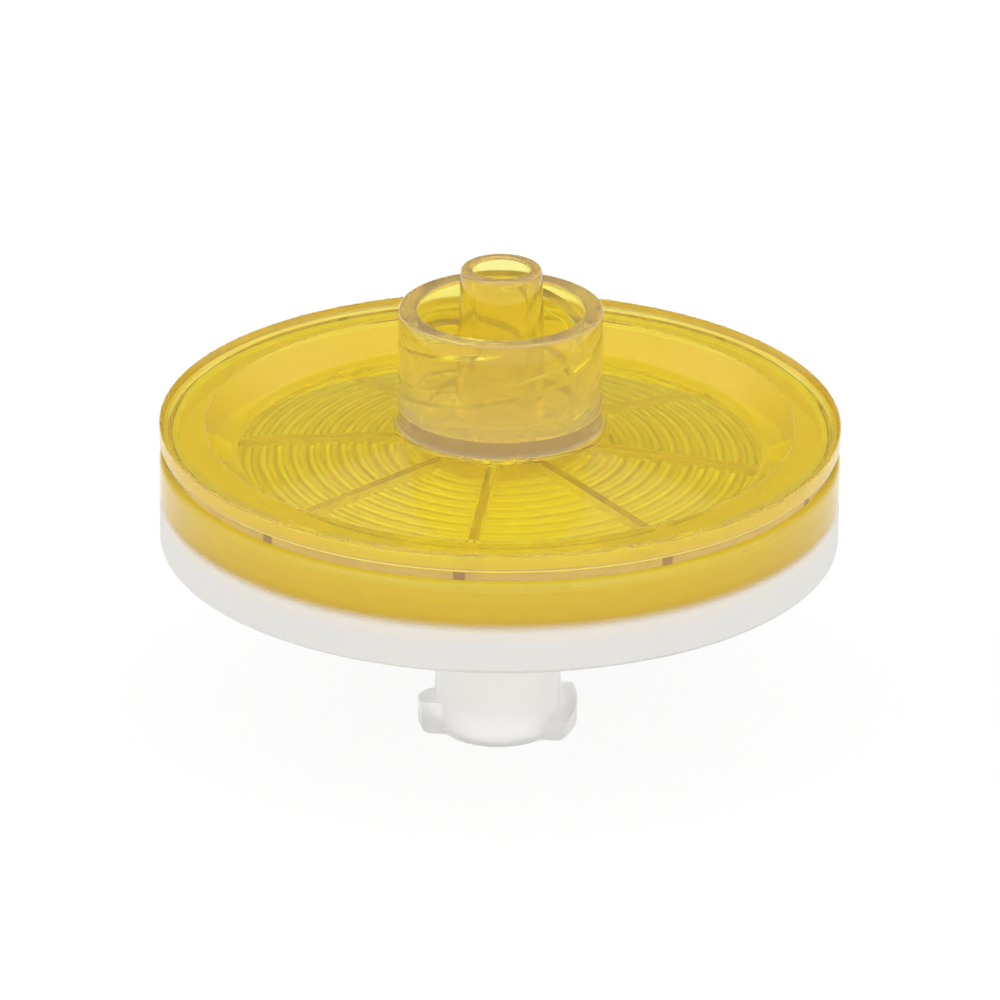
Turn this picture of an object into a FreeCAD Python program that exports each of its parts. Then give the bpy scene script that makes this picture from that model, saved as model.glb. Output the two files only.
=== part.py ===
"""Syringe filter: two moulded housing halves, welded round a membrane disc.

The part stands on the end of its inlet hub. Its origin is the centre of that
end face, +Z runs up the flow axis and the hub's two lock lugs lie along X.
All sizes are in millimetres and come from the Sizes sheet.
"""

import FreeCAD, Part
import math
import os

import Sketcher

os.makedirs("parts", exist_ok=True)
doc = FreeCAD.newDocument("SyringeFilter")

# ---------------------------------------------------------------- the sheet

SIZES = [
    # housing
    ("housing_d", 33.0, "outer diameter of both halves"),
    ("flange_thick", 0.8, "welded flange of the outlet half"),
    ("flange_width", 2.23, "flat top of the flange, rim to recess"),
    ("flange_round", 0.3, "lower edge of the flange's rim"),
    ("weld_gap", 0.5, "open groove between the flange and the wall below it"),
    ("weld_inset", 0.37, "depth of that groove"),
    ("wall_thick", 0.85, "side wall of the inlet half"),
    ("plug_clear", 0.05, "outlet half to inlet wall, on the radius"),
    # recess and drained underside of the outlet half
    ("recess_drop", 1.2, "top of the flange to the foot of the recess"),
    ("recess_run", 1.4, "width of the recess's sloping side"),
    ("recess_round", 0.3, "round at the foot of the recess"),
    ("face_drop", 3.5, "top of the flange to the ribbed face"),
    ("skirt_width", 1.95, "ring of the outlet half round the membrane"),
    ("skirt_depth", 0.1, "how far that ring reaches below the ribbed face"),
    ("rib_margin", 0.15, "plain land between the ribs and the membrane's seal"),
    ("rib_pitch", 0.78, "spacing of the concentric ribs"),
    ("rib_land", 0.39, "flat width of one rib"),
    ("rib_height", 0.4, "depth of the grooves between ribs"),
    ("rib_hub_d", 6.4, "plain land inside the ribbed field"),
    ("channel_count", 8, "radial drain channels"),
    ("channel_width", 0.55, "width of one drain channel"),
    ("channel_depth", 1.0, "depth of one drain channel"),
    # membrane
    ("membrane_thick", 0.15, "membrane disc"),
    ("edge_clear", 0.05, "membrane to the ring round it, on the radius"),
    ("seal_width", 0.85, "ring that grips the membrane's edge"),
    # outlet: male taper inside a locking collar
    ("collar_bore_d", 8.05, "inside of the locking collar, at the thread's root"),
    ("collar_wall", 0.91, "wall of the locking collar"),
    ("collar_rise", 6.0, "top of the flange to the collar's mouth"),
    ("collar_floor", 0.75, "top of the flange to the collar's floor"),
    ("collar_fillet", 0.42, "round at the foot of the collar"),
    ("foot_land", 0.08, "level land round that fillet"),
    ("mouth_round", 0.16, "edges of the collar's mouth"),
    ("tip_reach", 2.1, "how far the taper stands out of the collar"),
    ("tip_d", 3.93, "male taper at its tip"),
    ("tip_wall", 0.585, "wall of the taper at its tip"),
    ("tip_round", 0.28, "outer edge of the tip"),
    ("tip_chamfer", 0.18, "edge of the outlet bore at the tip"),
    ("luer_taper", 0.06, "change of diameter over length on both tapers"),
    ("outlet_bore_d", 2.0, "outlet bore at the ribbed face"),
    # inlet: female taper with two lock lugs
    ("hub_length", 10.1, "end of the hub to the underside of the disc"),
    ("socket_d", 4.3, "female taper at its mouth"),
    ("socket_depth", 8.2, "length of the female taper"),
    ("socket_chamfer", 0.15, "edge of the socket's mouth"),
    ("hub_wall", 0.93, "wall of the hub at the socket's mouth"),
    ("hub_chamfer", 0.22, "outer edge of the hub's end"),
    ("inlet_bore_d", 2.4, "passage from the socket to the chamber"),
    ("lug_count", 2, "lock lugs"),
    ("lug_reach", 0.82, "how far a lug stands out of the hub"),
    ("lug_width", 3.4, "width of one lug"),
    ("lug_low", 0.9, "height of a lug at its lower side"),
    ("lug_high", 1.65, "height of a lug at its higher side"),
    ("lug_round", 0.35, "lower outer edge of a lug"),
    # inlet half
    ("floor_thick", 1.3, "floor of the inlet half"),
    ("chamber_depth", 0.95, "floor to the underside of the membrane"),
    ("base_round", 0.2, "lower outer edge of the disc"),
    ("rim_round", 0.35, "upper outer edge of the inlet wall"),
    ("feed_rib_count", 8, "radial ribs under the membrane"),
    ("feed_rib_width", 0.7, "width of one such rib"),
    ("feed_rib_clear", 0.15, "top of such a rib to the membrane"),
    # tools
    ("cut_margin", 1.0, "how far a trimming cut runs past what it trims"),
]

sheet = doc.addObject("Spreadsheet::Sheet", "Sizes")
for row, (alias, number, note) in enumerate(SIZES, start=1):
    sheet.set(f"A{row}", alias)
    sheet.set(f"B{row}", str(number))
    sheet.set(f"C{row}", note)
    sheet.setAlias(f"B{row}", alias)
doc.recompute()

# Levels above the hub's end that several features share, from the bottom up.
HUB_END = "0"
DISC_BASE = "Sizes.hub_length"
CHAMBER_FLOOR = f"({DISC_BASE} + Sizes.floor_thick)"
MEMBRANE_BASE = f"({CHAMBER_FLOOR} + Sizes.chamber_depth)"
RIB_FACE = f"({MEMBRANE_BASE} + Sizes.membrane_thick)"
FLANGE_TOP = f"({RIB_FACE} + Sizes.face_drop)"
FLANGE_BASE = f"({FLANGE_TOP} - Sizes.flange_thick)"
WALL_TOP = f"({FLANGE_BASE} - Sizes.weld_gap)"
COLLAR_FLOOR = f"({FLANGE_TOP} + Sizes.collar_floor)"
COLLAR_TOP = f"({FLANGE_TOP} + Sizes.collar_rise)"
TIP_TOP = f"({COLLAR_TOP} + Sizes.tip_reach)"

# Radii that several features share, from the rim inwards.
AXIS = "0"
HOUSING_R = "(Sizes.housing_d / 2)"
WALL_BORE_R = f"({HOUSING_R} - Sizes.wall_thick)"
PLUG_R = f"({WALL_BORE_R} - Sizes.plug_clear)"
SKIRT_R = f"({PLUG_R} - Sizes.skirt_width)"
MEMBRANE_R = f"({SKIRT_R} - Sizes.edge_clear)"
SEAL_R = f"({MEMBRANE_R} - Sizes.seal_width)"
RIB_FIELD_R = f"({SEAL_R} - Sizes.rib_margin)"
OUTLET_BORE_R = "(Sizes.outlet_bore_d / 2)"


def value(expression):
    """The number that an expression on the sheet gives."""
    found = sheet.evalExpression(expression)
    return float(getattr(found, "Value", found))


# ----------------------------------------------------------------- helpers


def origin_feature(body, role):
    """One of the body's own origin planes or axes, found by its role."""
    for feature in body.Origin.OriginFeatures:
        if feature.Role == role:
            return feature
    raise ValueError(role)


def new_sketch(body, name, role, level=None):
    """An empty sketch on an origin plane, raised along its normal to level."""
    sketch = body.newObject("Sketcher::SketchObject", name)
    sketch.AttachmentSupport = (origin_feature(body, role), [""])
    sketch.MapMode = "FlatFace"
    if level is not None:
        sketch.setExpression("AttachmentOffset.Base.z", level)
    return sketch


def hold(sketch, edge, kind, axis, expression):
    """Holds the first end of an edge at a distance from the sketch's origin.
    A distance is never negative, so the two points swap for a negative one."""
    size = value(expression)
    if size == 0:
        sketch.addConstraint(Sketcher.Constraint("PointOnObject", edge, 1, axis))
        return
    points = (-1, 1, edge, 1) if size > 0 else (edge, 1, -1, 1)
    number = sketch.addConstraint(Sketcher.Constraint(kind, *points, abs(size)))
    sketch.setExpression(f"Constraints[{number}]", f"abs({expression})")


def add_outline(sketch, corners):
    """A closed outline of straight edges, each corner held from both sketch
    axes by the two expressions that place it."""
    first = sketch.GeometryCount
    count = len(corners)
    spots = [FreeCAD.Vector(value(across), value(up), 0) for across, up in corners]
    for index in range(count):
        edge = Part.LineSegment(spots[index], spots[(index + 1) % count])
        sketch.addGeometry(edge, False)
    for index, (across, up) in enumerate(corners):
        edge = first + index
        after = first + (index + 1) % count
        sketch.addConstraint(Sketcher.Constraint("Coincident", edge, 2, after, 1))
        hold(sketch, edge, "DistanceX", -2, across)
        hold(sketch, edge, "DistanceY", -1, up)


def rectangle(low_across, high_across, low_up, high_up):
    """The four corners of an upright rectangle."""
    return [
        (low_across, low_up),
        (high_across, low_up),
        (high_across, high_up),
        (low_across, high_up),
    ]


def finish_feature(body, feature):
    """Makes a new feature the body's tip and works it out."""
    body.Tip = feature
    doc.recompute()
    return feature


def turn(body, kind, name, sketch):
    """A full turn of the sketch about its own upright axis."""
    feature = body.newObject(kind, name)
    feature.Profile = sketch
    feature.ReferenceAxis = (sketch, ["V_Axis"])
    feature.Angle = 360
    return finish_feature(body, feature)


def extrude(body, kind, name, sketch, length, inward=False):
    """A pad or pocket of the sketch. A pocket that cuts up into the solid
    above its sketch is turned inward."""
    feature = body.newObject(kind, name)
    feature.Profile = sketch
    feature.Reversed = inward
    feature.setExpression("Length", length)
    return finish_feature(body, feature)


def repeat_round_axis(body, feature, name, count):
    """Repeats a feature evenly round the flow axis."""
    pattern = body.newObject("PartDesign::PolarPattern", name)
    pattern.Originals = [feature]
    pattern.Axis = (origin_feature(body, "Z_Axis"), [""])
    pattern.Angle = 360
    pattern.setExpression("Occurrences", count)
    return finish_feature(body, pattern)


def ring_edges(shape, radius, level):
    """Names of the shape's circular edges of this radius about the flow axis,
    at this level."""
    names = []
    for number, edge in enumerate(shape.Edges, start=1):
        if not isinstance(edge.Curve, Part.Circle):
            continue
        centre = edge.Curve.Center
        misses = (
            math.hypot(centre.x, centre.y),
            edge.Curve.Radius - value(radius),
            centre.z - value(level),
        )
        if all(abs(miss) < 1e-4 for miss in misses):
            names.append(f"Edge{number}")
    if not names:
        raise ValueError(f"no edge of radius {radius} at {level}")
    return names


def dress(body, kind, name, size, *rings):
    """A fillet or chamfer of one size on the circular edges at the rings,
    each a radius and a level."""
    base = body.Tip
    edges = []
    for radius, level in rings:
        edges += ring_edges(base.Shape, radius, level)
    feature = body.newObject(f"PartDesign::{kind}", name)
    feature.Base = (base, edges)
    feature.setExpression("Radius" if kind == "Fillet" else "Size", size)
    return finish_feature(body, feature)


# ------------------------------------------------------------- outlet shell


def turn_outlet_section(body):
    """The turned form: flange, coned recess, collar and male taper on top, a
    flat face with a short skirt below, and the outlet bore through it all."""
    collar_bore_r = "(Sizes.collar_bore_d / 2)"
    collar_r = f"({collar_bore_r} + Sizes.collar_wall)"
    foot_r = f"({collar_r} + Sizes.collar_fillet + Sizes.foot_land)"
    neck_r = f"({HOUSING_R} - Sizes.weld_inset)"
    recess_r = f"({HOUSING_R} - Sizes.flange_width)"
    recess_foot_r = f"({recess_r} - Sizes.recess_run)"
    recess_foot = f"({FLANGE_TOP} - Sizes.recess_drop)"
    skirt_base = f"({RIB_FACE} - Sizes.skirt_depth)"
    tip_r = "(Sizes.tip_d / 2)"
    tip_bore_r = f"({tip_r} - Sizes.tip_wall)"
    taper_length = f"({TIP_TOP} - {COLLAR_FLOOR})"
    taper_foot_r = f"({tip_r} + Sizes.luer_taper / 2 * {taper_length})"

    section = new_sketch(body, "OutletSection", "XZ_Plane")
    add_outline(
        section,
        [
            (OUTLET_BORE_R, RIB_FACE),
            (SKIRT_R, RIB_FACE),
            (SKIRT_R, skirt_base),
            (PLUG_R, skirt_base),
            (PLUG_R, WALL_TOP),
            (neck_r, WALL_TOP),
            (neck_r, FLANGE_BASE),
            (HOUSING_R, FLANGE_BASE),
            (HOUSING_R, FLANGE_TOP),
            (recess_r, FLANGE_TOP),
            (recess_foot_r, recess_foot),
            (foot_r, FLANGE_TOP),
            (collar_r, FLANGE_TOP),
            (collar_r, COLLAR_TOP),
            (collar_bore_r, COLLAR_TOP),
            (collar_bore_r, COLLAR_FLOOR),
            (taper_foot_r, COLLAR_FLOOR),
            (tip_r, TIP_TOP),
            (tip_bore_r, TIP_TOP),
        ],
    )
    turn(body, "PartDesign::Revolution", "OutletTurned", section)

    collar_mouth = [(collar_r, COLLAR_TOP), (collar_bore_r, COLLAR_TOP)]
    dress(body, "Fillet", "FlangeEdge", "Sizes.flange_round", (HOUSING_R, FLANGE_BASE))
    dress(body, "Fillet", "RecessFoot", "Sizes.recess_round", (recess_foot_r, recess_foot))
    dress(body, "Fillet", "CollarFoot", "Sizes.collar_fillet", (collar_r, FLANGE_TOP))
    dress(body, "Fillet", "CollarMouth", "Sizes.mouth_round", *collar_mouth)
    dress(body, "Fillet", "TipEdge", "Sizes.tip_round", (tip_r, TIP_TOP))
    dress(body, "Chamfer", "TipBoreEdge", "Sizes.tip_chamfer", (tip_bore_r, TIP_TOP))


def cut_ribs(body):
    """Rings cut into the flat face leave concentric ribs that hold the
    membrane off it. As many are cut as the field has room for."""
    room = value(f"{RIB_FIELD_R} - Sizes.rib_hub_d / 2")
    count = math.floor(room / value("Sizes.rib_pitch"))
    groove_top = f"({RIB_FACE} + Sizes.rib_height)"
    sketch = new_sketch(body, "RibGrooves", "XZ_Plane")
    for index in range(count):
        outer = f"({RIB_FIELD_R} - {index} * Sizes.rib_pitch)"
        inner = f"({outer} - Sizes.rib_pitch + Sizes.rib_land)"
        add_outline(sketch, rectangle(inner, outer, RIB_FACE, groove_top))
    turn(body, "PartDesign::Groove", "Ribs", sketch)


def cut_channels(body):
    """Radial channels, deeper than the rings, drain them into the bore. Each
    starts halfway to the bore's wall, so that it opens through it."""
    half = "(Sizes.channel_width / 2)"
    start = f"({OUTLET_BORE_R} / 2)"
    sketch = new_sketch(body, "ChannelOutline", "XY_Plane", RIB_FACE)
    add_outline(sketch, rectangle(start, RIB_FIELD_R, f"-{half}", half))
    channel = extrude(
        body, "PartDesign::Pocket", "Channel", sketch, "Sizes.channel_depth", inward=True
    )
    repeat_round_axis(body, channel, "Channels", "Sizes.channel_count")


def build_outlet_shell():
    """Outlet half: the upper, coloured shell."""
    body = doc.addObject("PartDesign::Body", "OutletShell")
    body.Label = "outlet_shell"
    body.Placement = FreeCAD.Placement()
    turn_outlet_section(body)
    cut_ribs(body)
    cut_channels(body)
    return body


# -------------------------------------------------------------- inlet shell

SOCKET_R = "(Sizes.socket_d / 2)"
HUB_R = f"({SOCKET_R} + Sizes.hub_wall)"


def turn_inlet_section(body):
    """The turned form: a hub under a shallow cup, with a ring inside the cup
    that grips the membrane against the outlet half."""
    section = new_sketch(body, "InletSection", "XZ_Plane")
    add_outline(
        section,
        [
            (AXIS, HUB_END),
            (HUB_R, HUB_END),
            (HUB_R, DISC_BASE),
            (HOUSING_R, DISC_BASE),
            (HOUSING_R, WALL_TOP),
            (WALL_BORE_R, WALL_TOP),
            (WALL_BORE_R, CHAMBER_FLOOR),
            (MEMBRANE_R, CHAMBER_FLOOR),
            (MEMBRANE_R, MEMBRANE_BASE),
            (SEAL_R, MEMBRANE_BASE),
            (SEAL_R, CHAMBER_FLOOR),
            (AXIS, CHAMBER_FLOOR),
        ],
    )
    turn(body, "PartDesign::Revolution", "InletTurned", section)
    dress(body, "Fillet", "BaseEdge", "Sizes.base_round", (HOUSING_R, DISC_BASE))
    dress(body, "Fillet", "RimEdge", "Sizes.rim_round", (HOUSING_R, WALL_TOP))
    dress(body, "Chamfer", "HubEdge", "Sizes.hub_chamfer", (HUB_R, HUB_END))


def add_lugs(body):
    """Lock lugs at the hub's end. The upper side of each climbs to the right
    like the thread that it engages, so a lug is its neighbour turned round
    the axis and never mirrored. Their outer faces are turned to one span."""
    lug_r = f"({HUB_R} + Sizes.lug_reach)"
    beyond = f"({lug_r} + Sizes.cut_margin)"
    half = "(Sizes.lug_width / 2)"

    sketch = new_sketch(body, "LugSection", "YZ_Plane")
    add_outline(
        sketch,
        [
            (f"-{half}", HUB_END),
            (half, HUB_END),
            (half, "Sizes.lug_high"),
            (f"-{half}", "Sizes.lug_low"),
        ],
    )
    lug = extrude(body, "PartDesign::Pad", "Lug", sketch, beyond)
    repeat_round_axis(body, lug, "Lugs", "Sizes.lug_count")

    trim = new_sketch(body, "LugTrim", "XZ_Plane")
    above = "(Sizes.lug_high + Sizes.cut_margin)"
    past = f"({beyond} + Sizes.cut_margin)"
    add_outline(trim, rectangle(lug_r, past, "-Sizes.cut_margin", above))
    turn(body, "PartDesign::Groove", "LugSpan", trim)
    dress(body, "Fillet", "LugEdge", "Sizes.lug_round", (lug_r, HUB_END))


def add_feed_ribs(body, rib_height):
    """Radial ribs on the chamber's floor, from the middle into the ring that
    grips the membrane."""
    half = "(Sizes.feed_rib_width / 2)"
    reach = f"({SEAL_R} + Sizes.seal_width / 2)"
    sketch = new_sketch(body, "FeedRibOutline", "XY_Plane", CHAMBER_FLOOR)
    add_outline(sketch, rectangle(AXIS, reach, f"-{half}", half))
    rib = extrude(body, "PartDesign::Pad", "FeedRib", sketch, rib_height)
    repeat_round_axis(body, rib, "FeedRibs", "Sizes.feed_rib_count")


def cut_flow_path(body, rib_height):
    """The tapered socket, the narrow passage above it and a cone that opens
    the passage into the chamber and clears the ribs from the middle."""
    passage_r = "(Sizes.inlet_bore_d / 2)"
    socket_end_r = f"({SOCKET_R} - Sizes.luer_taper / 2 * Sizes.socket_depth)"
    rib_top = f"({CHAMBER_FLOOR} + {rib_height})"
    sketch = new_sketch(body, "FlowPath", "XZ_Plane")
    add_outline(
        sketch,
        [
            (AXIS, HUB_END),
            (SOCKET_R, HUB_END),
            (socket_end_r, "Sizes.socket_depth"),
            (passage_r, "Sizes.socket_depth"),
            (passage_r, CHAMBER_FLOOR),
            (f"({passage_r} + {rib_height})", rib_top),
            (AXIS, rib_top),
        ],
    )
    turn(body, "PartDesign::Groove", "FlowCut", sketch)
    dress(body, "Chamfer", "SocketEdge", "Sizes.socket_chamfer", (SOCKET_R, HUB_END))


def build_inlet_shell():
    """Inlet half: the lower, milky shell with the hub that it stands on."""
    body = doc.addObject("PartDesign::Body", "InletShell")
    body.Label = "inlet_shell"
    body.Placement = FreeCAD.Placement()
    rib_height = "(Sizes.chamber_depth - Sizes.feed_rib_clear)"
    turn_inlet_section(body)
    add_lugs(body)
    add_feed_ribs(body, rib_height)
    cut_flow_path(body, rib_height)
    return body


# ----------------------------------------------------------------- membrane


def build_membrane():
    """Membrane: a plain disc, gripped at its edge between the two halves."""
    disc = doc.addObject("Part::Cylinder", "Membrane")
    disc.Label = "membrane"
    disc.setExpression("Radius", MEMBRANE_R)
    disc.setExpression("Height", "Sizes.membrane_thick")
    disc.setExpression("Placement.Base.z", MEMBRANE_BASE)
    return disc


# ------------------------------------------------------------ build and save

pieces = [build_outlet_shell(), build_inlet_shell(), build_membrane()]
doc.recompute()

for item in doc.Objects:
    if "Invalid" in item.State or "Error" in item.State:
        raise RuntimeError(f"{item.Label}: {item.State}")

for piece in pieces:
    if piece.Shape.isNull() or not piece.Shape.isValid() or len(piece.Shape.Solids) != 1:
        raise RuntimeError(f"{piece.Label}: bad shape")

for piece in pieces:
    piece.Shape.exportStep(f"parts/{piece.Label}.step")
    print(piece.Label, "volume", round(piece.Shape.Volume, 3), "mm3")
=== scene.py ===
"""Syringe filter: the look of the outlet half, weld flash, membrane and inlet half
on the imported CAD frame, and the small studio that it stands in.

Lengths in this file are in millimetres unless a name or a property says
otherwise, and MM turns them into the frame's metres.
"""

import math

import bmesh
import bpy
import numpy as np
from bpy.props import (
    FloatProperty,
    FloatVectorProperty,
    IntProperty,
    PointerProperty,
    StringProperty,
)
from bpy.types import Operator, Panel, PropertyGroup
from mathutils import Matrix, Vector


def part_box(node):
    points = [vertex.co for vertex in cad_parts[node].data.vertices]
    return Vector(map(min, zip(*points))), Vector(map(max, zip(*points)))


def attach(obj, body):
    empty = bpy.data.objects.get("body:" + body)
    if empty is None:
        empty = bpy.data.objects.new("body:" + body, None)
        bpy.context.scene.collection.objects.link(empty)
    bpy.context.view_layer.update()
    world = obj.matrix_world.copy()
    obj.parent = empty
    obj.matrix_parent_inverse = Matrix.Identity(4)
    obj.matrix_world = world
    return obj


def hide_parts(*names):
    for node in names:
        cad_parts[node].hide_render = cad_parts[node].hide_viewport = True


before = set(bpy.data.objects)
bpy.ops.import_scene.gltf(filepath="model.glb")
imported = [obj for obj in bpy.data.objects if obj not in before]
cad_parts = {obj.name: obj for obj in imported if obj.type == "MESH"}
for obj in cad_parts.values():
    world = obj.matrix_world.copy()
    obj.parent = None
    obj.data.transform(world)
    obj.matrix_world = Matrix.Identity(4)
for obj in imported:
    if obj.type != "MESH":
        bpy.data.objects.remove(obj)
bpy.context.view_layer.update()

bl_info = {
    "name": "Syringe Filter",
    "version": (1, 0, 0),
    "blender": (4, 5, 0),
    "location": "View3D > Sidebar > Syringe Filter",
    "description": "Builds the shells, weld flash and membrane of a syringe filter",
    "category": "Object",
}

MM = 0.001

# Heights and radii that the CAD nodes fix, in millimetres.
OUTLET_LOW, OUTLET_HIGH = (np.array(corner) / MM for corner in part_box("outlet_shell"))
INLET_HIGH = np.array(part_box("inlet_shell")[1]) / MM
MEMBRANE_LOW, MEMBRANE_HIGH = (np.array(corner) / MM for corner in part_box("membrane"))
HOUSING_R = OUTLET_HIGH[0]
MEMBRANE_R = MEMBRANE_HIGH[0]
TIP_TOP = OUTLET_HIGH[2]
SKIRT_BASE = OUTLET_LOW[2]
RIB_FACE = MEMBRANE_HIGH[2]
WALL_TOP = INLET_HIGH[2]


# ------------------------------------------------------------------- settings


class OutletSettings(PropertyGroup):
    """Sizes of the outlet half, and the number of marks on its weld."""

    collar_height: FloatProperty(
        name="Collar height", description="Flange top to the collar's mouth",
        default=6.0 * MM, unit="LENGTH",
    )
    tip_reach: FloatProperty(
        name="Tip reach", description="How far the taper stands out of the collar",
        default=2.1 * MM, unit="LENGTH",
    )
    rib_pitch: FloatProperty(
        name="Rib pitch", description="Spacing of the concentric ribs",
        default=0.78 * MM, unit="LENGTH",
    )
    rib_height: FloatProperty(
        name="Rib height", description="Depth of the grooves between the ribs",
        default=0.28 * MM, unit="LENGTH",
    )
    channel_count: IntProperty(
        name="Channels", description="Radial drain channels", default=8, min=1,
    )
    channel_width: FloatProperty(
        name="Channel width", description="Width of a drain channel",
        default=0.45 * MM, unit="LENGTH",
    )
    channel_depth: FloatProperty(
        name="Channel depth", description="Depth of a drain channel",
        default=1.0 * MM, unit="LENGTH",
    )
    thread_lead: FloatProperty(
        name="Thread lead", description="Rise of a collar thread in one turn",
        default=5.0 * MM, unit="LENGTH",
    )
    thread_height: FloatProperty(
        name="Thread height", description="How far a thread stands out of the collar's wall",
        default=0.5 * MM, unit="LENGTH",
    )
    dark_spot_count: IntProperty(
        name="Dark marks", description="Dark spots round the weld", default=10, min=1,
    )
    lip_height: FloatProperty(
        name="Lip height", description="How far the flange's edge is squeezed up",
        default=0.22 * MM, unit="LENGTH",
    )


class InletSettings(PropertyGroup):
    """Colour and clearness of the inlet half."""

    tint: StringProperty(
        name="Tint", description="Surface colour as an sRGB hex value", default="FDFCFA",
    )
    milky_below: FloatProperty(
        name="Milky below", description="Height under which the plastic is fully milky",
        default=12.1 * MM, unit="LENGTH",
    )
    clear_above: FloatProperty(
        name="Clear above", description="Height over which the wall is clear",
        default=12.8 * MM, unit="LENGTH",
    )


class MembraneSettings(PropertyGroup):
    """Thickness and place of the membrane under the ribs."""

    thickness: FloatProperty(
        name="Thickness", description="Thickness of the membrane",
        default=0.12 * MM, unit="LENGTH",
    )
    gap: FloatProperty(
        name="Gap", description="Air between the ribs and the membrane",
        default=0.02 * MM, unit="LENGTH",
    )


class FlashSettings(PropertyGroup):
    """Size of the flash beads on the flange."""

    height: FloatProperty(
        name="Flash height", description="Half the tallest bead's height",
        default=0.07 * MM, unit="LENGTH",
    )
    width: FloatProperty(
        name="Flash width", description="Half the widest bead's width",
        default=0.035 * MM, unit="LENGTH",
    )


class StudioSettings(PropertyGroup):
    """Camera and light."""

    distance: FloatProperty(
        name="Camera distance", description="Lens to the middle of the flange",
        default=0.4, unit="LENGTH",
    )
    azimuth: FloatProperty(
        name="Camera azimuth", description="Turn of the camera about the flow axis",
        default=math.radians(6.6), subtype="ANGLE",
    )
    elevation: FloatProperty(
        name="Camera elevation", description="Height of the camera above the horizon",
        default=math.radians(22.75), subtype="ANGLE",
    )
    roll: FloatProperty(
        name="Camera roll", description="Lean of the camera about its own view",
        default=math.radians(0.5), subtype="ANGLE",
    )
    sky_level: FloatProperty(
        name="Sky level", description="Brightness of the white tent round the filter",
        default=1.25, min=0.0,
    )
    opening_level: FloatProperty(
        name="Opening level", description="Brightness of the tent's opening at the back",
        default=0.2, min=0.0,
    )
    lamp_power: FloatVectorProperty(
        name="Lamp powers", description="Key, fill and back lamp, in watts",
        default=(0.3, 0.2, 0.2), size=3,
    )


# ------------------------------------------------------------------- surfaces


def rounded(corners, steps=4):
    """Points along a profile of straight runs whose corners are rounded.

    Each corner is (radius, height, round). A corner turns through the angle
    between its two runs. Its arc starts and ends round * tan(turn / 2) from
    the corner, and its centre is round / cos(turn / 2) away on the inside. A
    corner with no round is one point, and the two ends stay as they are."""
    points = [corners[0][:2]]
    for before, corner, after in zip(corners, corners[1:], corners[2:]):
        here = np.array(corner[:2])
        into = np.array(before[:2]) - here
        out = np.array(after[:2]) - here
        into, out = into / np.linalg.norm(into), out / np.linalg.norm(out)
        inside = into + out
        if corner[2] == 0 or np.linalg.norm(inside) < 1e-6:
            points.append(tuple(here))
            continue
        inside /= np.linalg.norm(inside)
        half_turn = math.pi / 2 - math.acos(np.clip(into @ inside, -1, 1))
        centre = here + inside * corner[2] / math.cos(half_turn)
        side = np.array([-inside[1], inside[0]])
        side *= np.sign(side @ out)
        turn = np.linspace(-half_turn, half_turn, steps + 1)[:, None]
        arc = centre + corner[2] * (np.sin(turn) * side - np.cos(turn) * inside)
        points.extend(map(tuple, arc))
    points.append(corners[-1][:2])
    return np.array(points)


def held(points, shortest=0.3, guard=0.03):
    """The same profile, with a point put guard millimetres in from each end
    of every run longer than shortest. The shading of a round corner then ends
    at its arc, and the flat beside it mirrors and refracts as a flat."""
    step = np.diff(points, axis=0)
    runs = np.linalg.norm(step, axis=1)[:, None]
    inward = np.where(runs > shortest, guard / np.maximum(runs, 1e-9), 0)
    rows = [points[:-1], points[:-1] + step * inward, points[1:] - step * inward]
    held_rows = np.stack(rows, axis=1).reshape(-1, 2)
    fresh = np.linalg.norm(np.diff(held_rows, axis=0, append=points[-1:]), axis=1) > 1e-9
    return np.vstack([held_rows[fresh], points[-1:]])


def subdivided(points, longest):
    """The same profile, with each run longer than longest cut into equal
    parts by points a whole number of parts along it."""
    runs = np.linalg.norm(np.diff(points, axis=0), axis=1)
    parts = np.maximum(1, np.ceil(runs / longest)).astype(int)
    start = np.repeat(points[:-1], parts, axis=0)
    step = np.repeat(np.diff(points, axis=0) / parts[:, None], parts, axis=0)
    first = np.repeat(np.cumsum(parts) - parts, parts)
    along = (np.arange(parts.sum()) - first)[:, None]
    return np.vstack([start + step * along, points[-1:]])


def smooth_rise(low, high, x):
    """Rises from 0 at low to 1 at high along a cubic with level ends."""
    t = np.clip((x - low) / (high - low), 0, 1)
    return t * t * (3 - 2 * t)


def grid_faces(rows, columns, met=None):
    """Corner numbers of the quads on a grid that closes round its rows and
    its columns. Each quad runs down a row first, so that its normal is the
    profile's direction crossed with the turn's. met gives the row that each
    row meets after one turn, and is the row itself unless the rows climb."""
    met = np.arange(rows) if met is None else met
    row = np.arange(rows)[:, None]
    column = np.arange(columns)[None, :]
    below, beside = (row + 1) % rows, (column + 1) % columns
    quads = [
        row * columns + column,
        below * columns + column,
        np.where(beside == 0, met[below], below) * columns + beside,
        np.where(beside == 0, met[row], row) * columns + beside,
    ]
    return np.stack(np.broadcast_arrays(*quads), axis=-1).reshape(-1, 4)


def turned_points(radius, height, angle):
    """Points in metres at each radius, height and angle about the axis:
    x = radius cos angle, y = radius sin angle, z = height."""
    radius, height, angle = np.broadcast_arrays(radius, height, angle)
    across = [radius * np.cos(angle), radius * np.sin(angle), height]
    return np.stack(across, axis=-1).reshape(-1, 3) * MM


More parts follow.
